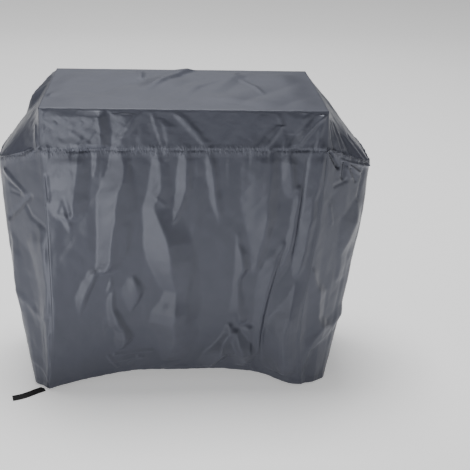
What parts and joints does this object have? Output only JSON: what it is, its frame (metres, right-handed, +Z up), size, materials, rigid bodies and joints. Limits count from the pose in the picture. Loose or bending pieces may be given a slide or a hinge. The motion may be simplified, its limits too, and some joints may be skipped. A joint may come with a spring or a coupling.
{
  "type": "fitted barbecue cover",
  "caption": "Fitted cloth cover for a barbecue with side shelves: flat top, short yoke, long gathered skirt open at the bottom, and a webbing tie at the hem.",
  "frame": {"origin": "middle of the top panel's underside, where the cover rests on what it is drawn over", "axes": "+X to the cover's right as seen from the front, +Y to the back, +Z up"},
  "size_m": [1.4377, 0.6961, 1.1723],
  "materials": {
    "cover_cloth": "coated polyester weave, grey, semi-gloss",
    "tie_webbing": "black polyester webbing, matte"
  },
  "bodies": {
    "root": {"top_panel": "cover_cloth", "yoke_front": "cover_cloth", "yoke_back": "cover_cloth", "yoke_left": "cover_cloth", "yoke_right": "cover_cloth", "skirt_front": "cover_cloth", "skirt_back": "cover_cloth", "skirt_left": "cover_cloth", "skirt_right": "cover_cloth", "hem_tie": "tie_webbing"}
  },
  "joints": []
}
